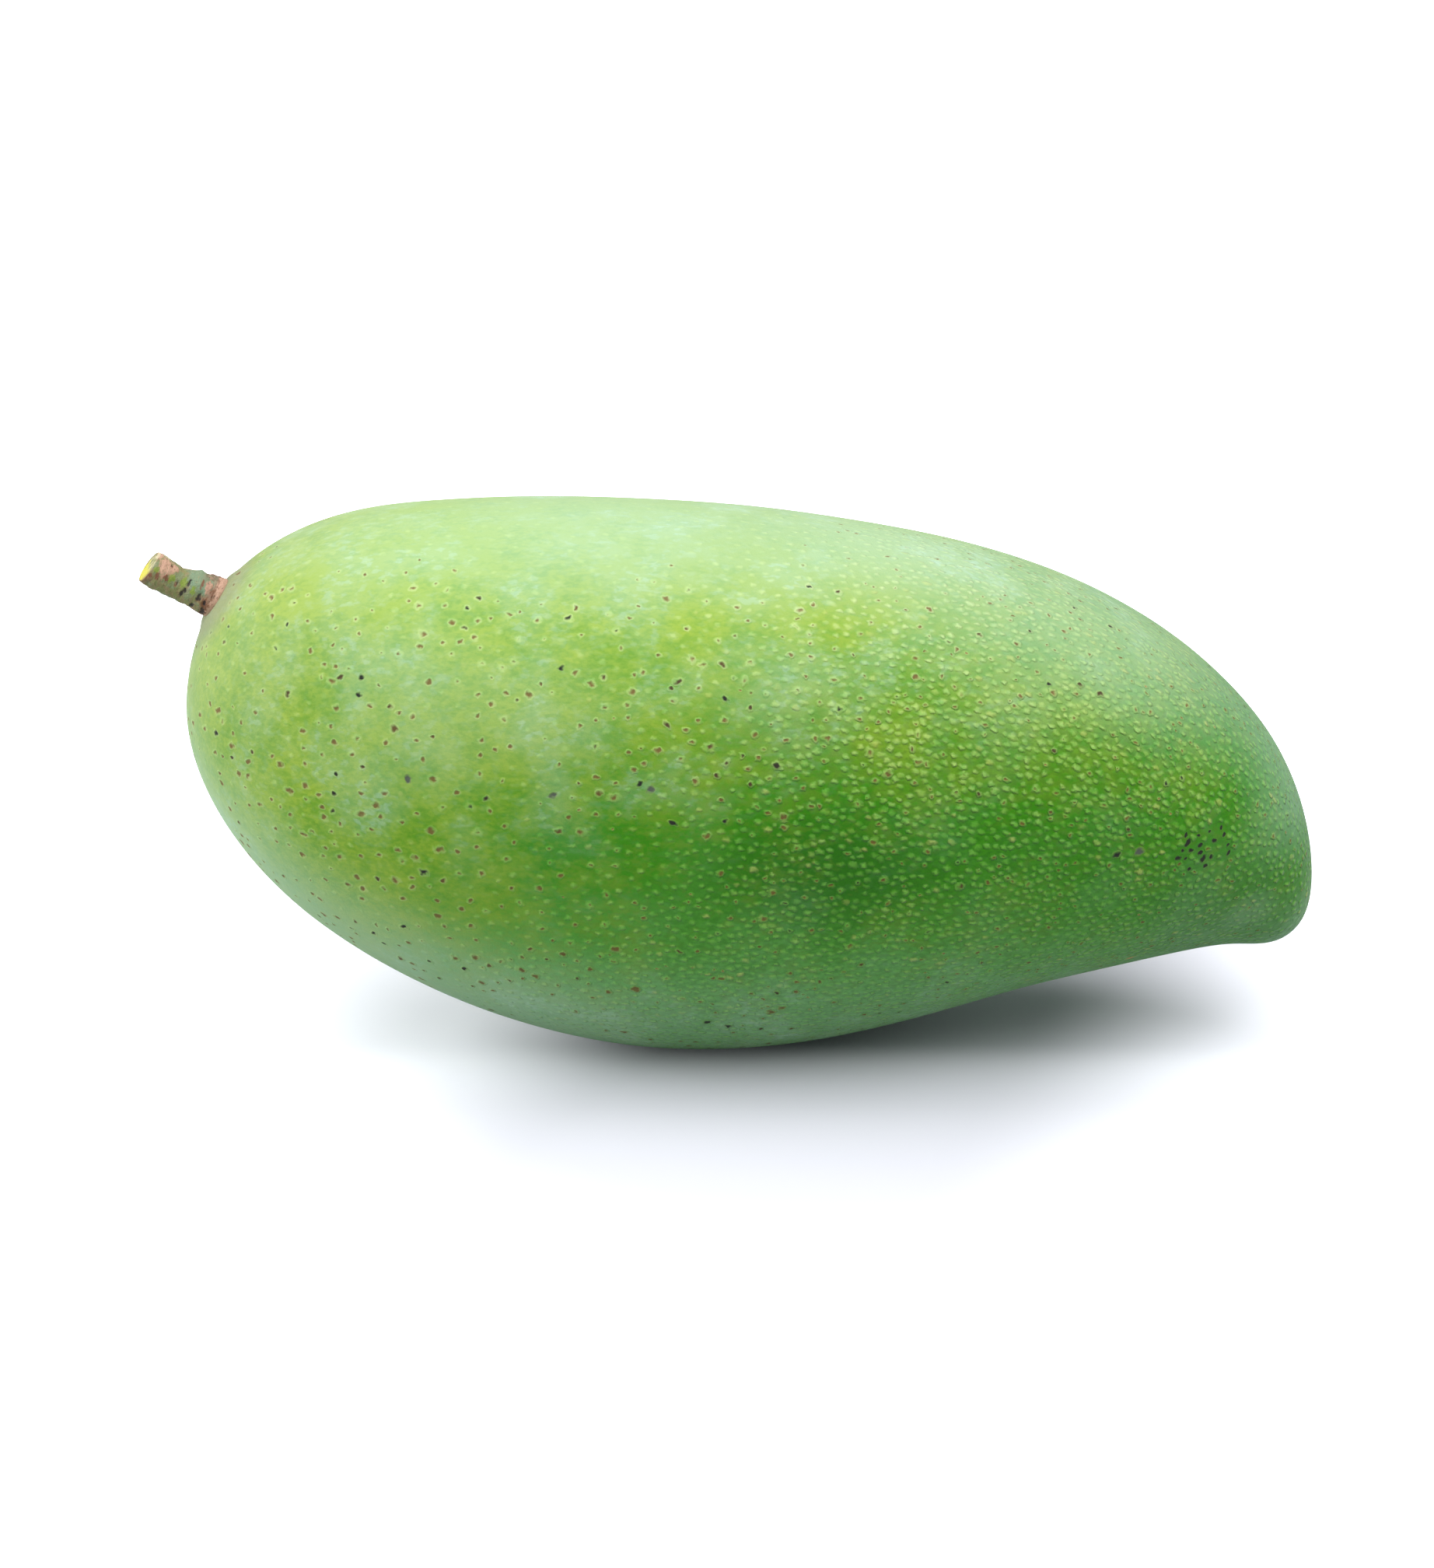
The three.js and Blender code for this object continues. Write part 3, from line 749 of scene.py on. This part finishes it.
ragged = node(tree, "VectorMath", {0: ragged, 1: (0.5, 0.5, 0.5)}, operation="SUBTRACT").outputs[0]
ragged = node(tree, "VectorMath", {0: ragged, "Scale": RAGGED_BEND}, operation="SCALE").outputs[0]


def pore_masks(tree, letter):
    """Dot, heart and tone of one of the two nearest pores."""
    way = attribute(tree, "pore_way_" + letter, "Vector")
    look = node(tree, "SeparateXYZ", {0: attribute(tree, "pore_look_" + letter, "Vector")}).outputs
    bent = node(tree, "VectorMath", {0: way, 1: ragged}, operation="ADD").outputs[0]
    out_at = node(tree, "VectorMath", {0: bent}, operation="LENGTH").outputs["Value"]
    full_at = reckon(tree, "MULTIPLY_ADD", look["X"], DOT_FULL_HEART, DOT_FULL)
    dot = rise(tree, out_at, DOT_EDGE, full_at)
    edge = reckon(tree, "SUBTRACT", out_at, look["X"])
    strength = reckon(tree, "MULTIPLY_ADD", rise(tree, look["Y"], 0.2, 0.7), HEART_BLACKER, HEART_STRENGTH)
    strength = reckon(tree, "MULTIPLY", strength, rise(tree, look["X"], 0.05, 0.2))
    heart = reckon(tree, "MULTIPLY", rise(tree, edge, *HEART_EDGE), strength)
    return dot, heart, look["Y"], reckon(tree, "MULTIPLY", dot, look["Z"])


dot_a, heart_a, tone_a, rim_a = pore_masks(tree, "a")
dot_b, heart_b, tone_b, rim_b = pore_masks(tree, "b")
rim = reckon(tree, "MAXIMUM", rim_a, rim_b)
heart = reckon(tree, "MAXIMUM", heart_a, heart_b)
of_b = reckon(tree, "GREATER_THAN", heart_b, heart_a)
tone = reckon(tree, "MULTIPLY_ADD", reckon(tree, "SUBTRACT", tone_b, tone_a), of_b, tone_a)
# Painted shade: where the pale dots crowd, the green between them darkens towards the painted shade green,
# with streaks, and less of it high up.
between = reckon(tree, "SUBTRACT", 1.0, reckon(tree, "MAXIMUM", dot_a, dot_b))
shade_depth = reckon(tree, "MULTIPLY_ADD", streaks, SHADE_BETWEEN_DOTS_STREAKS, SHADE_BETWEEN_DOTS)
less_high_up = reckon(tree, "MULTIPLY_ADD", rise(tree, z, *SHADE_BETWEEN_DOTS_Z), SHADE_BETWEEN_DOTS_HIGH_UP, 1.0)
shade_depth = reckon(tree, "MULTIPLY", shade_depth, less_high_up)
shade = reckon(tree, "MULTIPLY", reckon(tree, "MULTIPLY", between, crowded), shade_depth)
shaded_between_dots = mix(tree, shade, green, PAINTED_SHADE_GREEN)
pale = mix(tree, sunny, PORE_LEAFY, PORE_SUNNY)
paler = reckon(tree, "MULTIPLY_ADD", crowded, PALER_CROWDED, PALER)
paler = reckon(tree, "MULTIPLY", rise(tree, z, *PALER_Z), paler)
pale = mix(tree, paler, pale, PORE_PALE)
pale = mix(tree, rise(tree, tone_a, *TONE_TINTED), pale, PORE_TINTED)
dotted = mix(tree, reckon(tree, "MULTIPLY", rim, DOT_STRENGTH), shaded_between_dots, pale)
off_dots = reckon(tree, "MULTIPLY_ADD", rim, WAX_OFF_DOTS, 1.0)
# The bloom's colour goes where the mask holds wax, and where it holds painted light.
waxed_and_lit = mix(tree, reckon(tree, "MULTIPLY", wax_and_painted_light, off_dots), dotted, BLOOM_AND_PAINTED_LIGHT)
waxed_and_lit = mix(tree, stain, waxed_and_lit, STALK_STAIN)
cork = mix(tree, rise(tree, tone, *TONE_ROSY), PORE_BROWN, PORE_ROSY)
cork = mix(tree, rise(tree, tone, *TONE_BLACK), cork, PORE_BLACK)
cork = mix(tree, rise(tree, tone, *TONE_GREY), cork, PORE_GREY)
colour = mix(tree, heart, waxed_and_lit, cork)

grain = node(tree, "TexNoise", {"Vector": where, "Scale": GRAIN_SCALE, "Detail": 2.0}).outputs["Fac"]
raised = reckon(tree, "MULTIPLY_ADD", crowded, DOT_RELIEF_CROWDED, DOT_RELIEF)
raised = reckon(tree, "MULTIPLY", rim, raised)
smoother_high_up = reckon(tree, "MULTIPLY_ADD", rise(tree, z, *DOT_RELIEF_Z), DOT_RELIEF_HIGH_UP, 1.0)
raised = reckon(tree, "MULTIPLY", raised, smoother_high_up)
relief = reckon(tree, "MULTIPLY_ADD", grain, GRAIN_RELIEF, raised)
relief = reckon(tree, "MULTIPLY_ADD", heart, HEART_RELIEF, relief)
bump = node(tree, "Bump", {"Height": relief, "Strength": 1.0, "Distance": SKIN_RELIEF})
rough = reckon(tree, "MULTIPLY_ADD", wax_and_painted_light, WAX_ROUGHER, SKIN_ROUGH)
rough = reckon(tree, "MULTIPLY_ADD", heart, HEART_ROUGHER, rough)
body = node(tree, "BsdfPrincipled", {
    "Base Color": colour, "Roughness": rough, "Normal": bump.outputs[0],
    "Specular IOR Level": 0.16, "Sheen Weight": 0.10, "Sheen Roughness": 0.45,
})
node(tree, "OutputMaterial", {"Surface": body.outputs[0]})
skin.data.materials.clear()
skin.data.materials.append(waxy)


# ---------------------------------------------------------------- the stalk
# The stub of the fruit's own woody stalk, cut with a knife a centimetre above the skin. It grows
# out of its socket through a corky collar, swells at the node above it, and ends in a slanting
# cut, whose yellow-green wood stands inside a rim of dry, flaking bark.
STALK_LINE = [  # distance from the skin, radius, and how far the middle lies above a straight axis
    (-0.0018, 0.00225, 0.0),
    (-0.0006, 0.00275, 0.0),
    (0.0006, 0.00268, -0.00015),
    (0.0015, 0.00248, -0.0002),
    (0.0026, 0.00240, -0.0001),
    (0.0036, 0.00218, -0.0003),
    (0.0046, 0.00208, -0.0004),
    (0.0056, 0.00212, -0.0003),
    (0.0076, 0.00226, 0.0),
    (0.0090, 0.00224, 0.00008),
]
STALK_SIDES = 32
STALK_STEP = 0.0004
STALK_FINER = 2
CUT_RINGS = 5  # the last rings lean step by step to the slant of the cut
CUT_LEAN = math.radians(12.0)
CUT_SIDE = math.radians(5.0)
BARK_THICK = 0.00035
CUT_STEPS = (  # insets across the cut, as width and depth: the bark, the step down, and the wood
    (BARK_THICK * 0.3, 0.0),
    (BARK_THICK * 0.7, 0.0),
    (0.00008, -0.0002),
    (0.0005, 0.00012),
    (0.0006, 0.00004),
)
NODE_AT = 0.0026  # the swelling is on the upper side only
NODE_SWELL = 0.00022
NODE_REACH = 0.0011


def ring_at(distance):
    """Radius and middle of the stalk at a distance from the skin."""
    along, radii, lifts = zip(*STALK_LINE)
    return np.interp(distance, along, radii), np.interp(distance, along, lifts)


distances = np.arange(STALK_LINE[0][0], STALK_LINE[-1][0] + STALK_STEP / 2, STALK_STEP)
radius_now, lift_now = ring_at(distances[0])
bpy.ops.object.select_all(action="DESELECT")
bpy.ops.mesh.primitive_circle_add(
    vertices=STALK_SIDES, radius=radius_now, fill_type="NGON", location=(0.0, 0.0, distances[0]))
stub = bpy.context.object
stub.name = "stalk_stub"
bpy.ops.object.transform_apply(location=True, rotation=False, scale=False)
bpy.ops.object.mode_set(mode="EDIT")
bpy.ops.mesh.select_all(action="SELECT")
for count, distance in enumerate(distances[1:], 1):
    radius_next, lift_next = ring_at(distance)
    move = (lift_next - lift_now, 0.0, STALK_STEP)
    bpy.ops.mesh.extrude_region_move(TRANSFORM_OT_translate={"value": move})
    ring_middle = (lift_next, 0.0, distance)
    grow = radius_next / radius_now
    bpy.ops.transform.resize(value=(grow, grow, 1.0), center_override=ring_middle)
    if count >= len(distances) - CUT_RINGS:
        bpy.ops.transform.rotate(
            value=-CUT_LEAN / CUT_RINGS, orient_axis="Y", center_override=ring_middle)
        bpy.ops.transform.rotate(
            value=-CUT_SIDE / CUT_RINGS, orient_axis="X", center_override=ring_middle)
    radius_now, lift_now = radius_next, lift_next
for thickness, depth in CUT_STEPS:
    bpy.ops.mesh.inset(thickness=thickness, depth=depth)
bpy.ops.mesh.select_all(action="SELECT")
bpy.ops.mesh.normals_make_consistent(inside=False)
bpy.ops.object.mode_set(mode="OBJECT")
finer = stub.modifiers.new("finer", "SUBSURF")
finer.levels = STALK_FINER
finer.render_levels = STALK_FINER
finish_modifiers(stub)

# Marks of the bark, as height, angle round the stalk, half its height and half its width in
# millimetres. The angle is 0 at the top and 90 on the side that faces the front.
BARK_MARKS = {
    "bark_flake": [(7.0, 44, 1.1, 1.3), (5.9, 30, 0.5, 0.5), (1.2, 52, 0.4, 0.7), (8.4, 5, 0.5, 0.9)],
    "bark_cream": [(8.9, 10, 0.5, 0.8), (7.4, -10, 0.5, 0.6)],
    "bark_moss": [
        (5.9, 72, 0.4, 0.55), (4.3, 68, 0.35, 0.7), (2.9, 80, 0.3, 0.5), (8.1, 66, 0.35, 0.4),
    ],
    "bark_rust": [
        (8.6, 92, 0.25, 0.3), (7.7, 84, 0.3, 0.5), (6.6, 78, 0.3, 0.35), (6.5, 27, 0.16, 0.3),
        (5.1, 84, 0.2, 0.35), (2.1, 50, 0.15, 0.6), (9.2, 100, 0.3, 0.4), (8.9, 50, 0.14, 0.7),
    ],
    "bark_scar": [
        (6.5, 26, 0.13, 0.22), (3.6, 62, 0.16, 0.5), (4.0, 108, 0.22, 0.45), (3.75, 92, 0.2, 0.3),
        (1.8, 90, 0.32, 0.5), (2.15, 136, 0.25, 0.6), (0.65, 134, 0.35, 0.6), (5.0, 80, 0.12, 0.3),
        (0.9, 100, 0.2, 0.3),
    ],
}
BARK_SEED = 5
BARK_MORE = 9  # further marks of each kind, on the sides that the list leaves bare
BARK_MORE_LIMITS = ((0.5, 8.8), (160.0, 330.0), (0.15, 0.5), (0.3, 0.8))  # in the list's order
BARK_ROUGH = 0.00010
FLAKE_HEIGHT = 0.00012
SCAR_DEPTH = 0.00016
BARK_INSIDE, BARK_FADE = 0.0014, 0.0004  # radius where the roughness starts, and how soon it is full
BARK_GRAIN, BARK_FINE = (0.0012, 0.0012, 0.0005), 0.0003

local = corners(stub.data)
round_at = np.degrees(np.arctan2(-local[:, 1], local[:, 0]))
height_at = local[:, 2] * 1000.0
rng = np.random.default_rng(BARK_SEED)
for title, marks in BARK_MARKS.items():
    more = [
        tuple(rng.uniform(*limits) for limits in BARK_MORE_LIMITS)
        for _ in range(BARK_MORE)
    ]
    cover = np.zeros(len(local))
    for height, angle, tall, wide in marks + more:
        turn = (round_at - angle + 180.0) % 360.0 - 180.0
        reach = np.hypot((height_at - height) / tall, np.radians(turn) * 2.2 / wide)
        cover = np.maximum(cover, np.clip(1.6 - reach, 0.0, 1.0))
    stub.data.attributes.new(title, "FLOAT", "POINT").data.foreach_set(
        "value", cover.astype(np.float32))


def field(title):
    values = np.empty(len(local), np.float32)
    stub.data.attributes[title].data.foreach_get("value", values)
    return values


# The bark is rough across the stalk, flakes stand proud of it and scars lie in it.
outward = local * (1.0, 1.0, 0.0)
outward /= np.maximum(np.linalg.norm(outward, axis=1), 1e-6)[:, None]
on_bark = np.clip((np.hypot(local[:, 0], local[:, 1]) - BARK_INSIDE) / BARK_FADE, 0.0, 1.0)
rough = np.array([
    noise.noise(Vector([side / size for side, size in zip(p, BARK_GRAIN)]))
    + 0.5 * noise.noise(Vector(p) / BARK_FINE)
    for p in local
])
upper_side = np.clip(np.cos(np.radians(round_at)), 0, 1)
swelling = np.exp(-((local[:, 2] - NODE_AT) / NODE_REACH) ** 2) * upper_side
lift = BARK_ROUGH * rough + FLAKE_HEIGHT * field("bark_flake") - SCAR_DEPTH * field("bark_scar")
lift = lift * on_bark + NODE_SWELL * swelling
local += outward * lift[:, None]
stub.data.vertices.foreach_set("co", local.astype(np.float32).ravel())
stub.data.update()

only(stub)
bpy.ops.object.mode_set(mode="EDIT")
bpy.ops.mesh.select_all(action="SELECT")
bpy.ops.transform.rotate(
    value=math.pi / 2 - STALK_LIFT, orient_axis="Y", center_override=(0.0, 0.0, 0.0))
bpy.ops.transform.translate(value=SOCKET_FOOT)
bpy.ops.object.mode_set(mode="OBJECT")
bpy.ops.object.shade_smooth()

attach(stub, "root")
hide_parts("stalk")

BARK_OLIVE = (0.215, 0.225, 0.080, 1.0)
BARK_GREY = (0.185, 0.270, 0.165, 1.0)
BARK_TAN = (0.300, 0.190, 0.110, 1.0)
BARK_PEACH = (0.560, 0.320, 0.230, 1.0)
BARK_CREAM = (0.600, 0.520, 0.340, 1.0)
BARK_GREEN = (0.200, 0.290, 0.030, 1.0)
BARK_BROWN = (0.190, 0.060, 0.030, 1.0)
BARK_DARK = (0.035, 0.024, 0.024, 1.0)
CUT_WOOD = (0.560, 0.520, 0.075, 1.0)
CORK_RIM = (0.560, 0.340, 0.240, 1.0)
BARK_RELIEF = 0.00012  # metres for a relief of 1
RAGGED_SIZE, BROAD_SIZE, TAN_SIZE, FLECK_SIZE, GROOVE_SIZE = 0.0005, 0.0016, 0.0009, 0.00045, 0.0002
SQUEEZE = (1.0, 1.0, 2.2)
# Distances from the skin, and across the stalk, over which one look goes over into another. Some
# of the edges are ragged by a distance.
NODE_HEIGHT, NODE_ACROSS = (0.0046, 0.0032), (0.0, 0.0012)
COLLAR_RAGGED, COLLAR_HEIGHT = 0.0014, (0.0028, 0.0014)
RIM_RAGGED, RIM_HEIGHT = 0.0005, (0.0007, 0.0002)
CUT_HEIGHT, CUT_DRIED_HEIGHT = (0.0087, 0.0089), (0.0078, 0.0086)
CUT_RAGGED, CUT_BARE_ACROSS = 0.0006, (0.0008, 0.0)
WOOD_FROM, WOOD_FULL = 0.00200, 0.00182  # distance from the axis

bark = bpy.data.materials.new("flaking_bark")
bark.use_nodes = True
tree = bark.node_tree
tree.nodes.clear()
where = node(tree, "TexCoord").outputs["Object"]
turned = node(tree, "Mapping", {
    "Vector": where, "Location": SOCKET_FOOT, "Rotation": (0.0, STALK_LIFT - math.pi / 2, 0.0),
}, vector_type="TEXTURE").outputs[0]
axes = node(tree, "SeparateXYZ", {0: turned}).outputs
flat_way = node(tree, "VectorMath", {0: turned, 1: (1.0, 1.0, 0.0)}, operation="MULTIPLY").outputs[0]
from_axis = node(tree, "VectorMath", {0: flat_way}, operation="LENGTH").outputs["Value"]
squeezed = node(tree, "Mapping", {"Vector": turned, "Scale": SQUEEZE}).outputs[0]
ragged = blotch(tree, squeezed, RAGGED_SIZE, 3.0, 0.25, 0.75)
broad = blotch(tree, turned, BROAD_SIZE, 2.0, 0.25, 0.75)
elsewhere = node(tree, "Mapping", {"Vector": squeezed, "Location": (0.01, 0.0, 0.0)}).outputs[0]
tan = blotch(tree, elsewhere, TAN_SIZE, 3.0)

# The bark is olive and tan, greyer over the node, with flakes, moss and rusty marks, a red-brown
# collar of cork, and a thin pale rim where the cork meets the skin.
colour = mix(tree, reckon(tree, "MULTIPLY", tan, 0.65), BARK_OLIVE, BARK_TAN)
node_part = rise(tree, axes["Z"], *NODE_HEIGHT)
node_part = reckon(tree, "MULTIPLY", node_part, rise(tree, axes["X"], *NODE_ACROSS))
grey_part = reckon(tree, "MULTIPLY_ADD", rise(tree, broad, 0.5, 0.8), 0.5, node_part)
colour = mix(tree, reckon(tree, "MULTIPLY", grey_part, 0.85), colour, BARK_GREY)
for title, tint, strength in (
    ("bark_flake", BARK_PEACH, 0.90),
    ("bark_cream", BARK_CREAM, 0.90),
    ("bark_moss", BARK_GREEN, 0.85),
    ("bark_rust", BARK_BROWN, 0.85),
):
    cover = reckon(tree, "MULTIPLY_ADD", ragged, 0.9, attribute(tree, title, "Fac"))
    cover = rise(tree, cover, 0.72, 1.30)
    colour = mix(tree, reckon(tree, "MULTIPLY", cover, strength), colour, tint)
collar = rise(tree, reckon(tree, "MULTIPLY_ADD", broad, COLLAR_RAGGED, axes["Z"]), *COLLAR_HEIGHT)
peach_share = reckon(tree, "MULTIPLY", rise(tree, tan, 0.5, 1.0), 0.45)
collar_tint = mix(tree, peach_share, BARK_BROWN, BARK_PEACH)
colour = mix(tree, reckon(tree, "MULTIPLY", collar, 0.85), colour, collar_tint)
cork = rise(tree, reckon(tree, "MULTIPLY_ADD", ragged, RIM_RAGGED, axes["Z"]), *RIM_HEIGHT)
colour = mix(tree, reckon(tree, "MULTIPLY", cork, 0.85), colour, CORK_RIM)
flecks = blotch(tree, squeezed, FLECK_SIZE, 2.0, 0.62, 0.74)
cover = reckon(tree, "MULTIPLY_ADD", ragged, 0.9, attribute(tree, "bark_scar", "Fac"))
cover = reckon(tree, "MAXIMUM", rise(tree, cover, 0.80, 1.25), reckon(tree, "MULTIPLY", flecks, 0.7))
colour = mix(tree, reckon(tree, "MULTIPLY", cover, 0.92), colour, BARK_DARK)

# The knife left bare wood on the lower part of the cut. Its upper part has dried to bark.
slant = reckon(tree, "MULTIPLY_ADD", axes["X"], math.tan(CUT_LEAN), axes["Z"])
face_up = rise(tree, slant, *CUT_HEIGHT)
inside = rise(tree, from_axis, WOOD_FROM, WOOD_FULL)
bare = rise(tree, reckon(tree, "MULTIPLY_ADD", ragged, CUT_RAGGED, axes["X"]), *CUT_BARE_ACROSS)
wood = mix(tree, bare, mix(tree, tan, BARK_CREAM, BARK_OLIVE), CUT_WOOD)
dried = rise(tree, slant, *CUT_DRIED_HEIGHT)
edge_share = reckon(tree, "MULTIPLY", dried, reckon(tree, "MULTIPLY", bare, 0.6))
colour = mix(tree, edge_share, colour, BARK_BROWN)
colour = mix(tree, reckon(tree, "MULTIPLY", face_up, inside), colour, wood)
grooves = blotch(tree, squeezed, GROOVE_SIZE, 3.0)
relief = reckon(tree, "MULTIPLY_ADD", grooves, 0.5, ragged)
bump = node(tree, "Bump", {"Height": relief, "Strength": 0.7, "Distance": BARK_RELIEF})
body = node(tree, "BsdfPrincipled", {
    "Base Color": colour, "Roughness": reckon(tree, "MULTIPLY_ADD", ragged, 0.3, 0.6),
    "Normal": bump.outputs[0],
})
node(tree, "OutputMaterial", {"Surface": body.outputs[0]})
stub.data.materials.clear()
stub.data.materials.append(bark)


# ---------------------------------------------------------------- sizes
visual_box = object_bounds()
sizes = {"cad": [list(corner) for corner in cad_box], "visual": [list(corner) for corner in visual_box]}
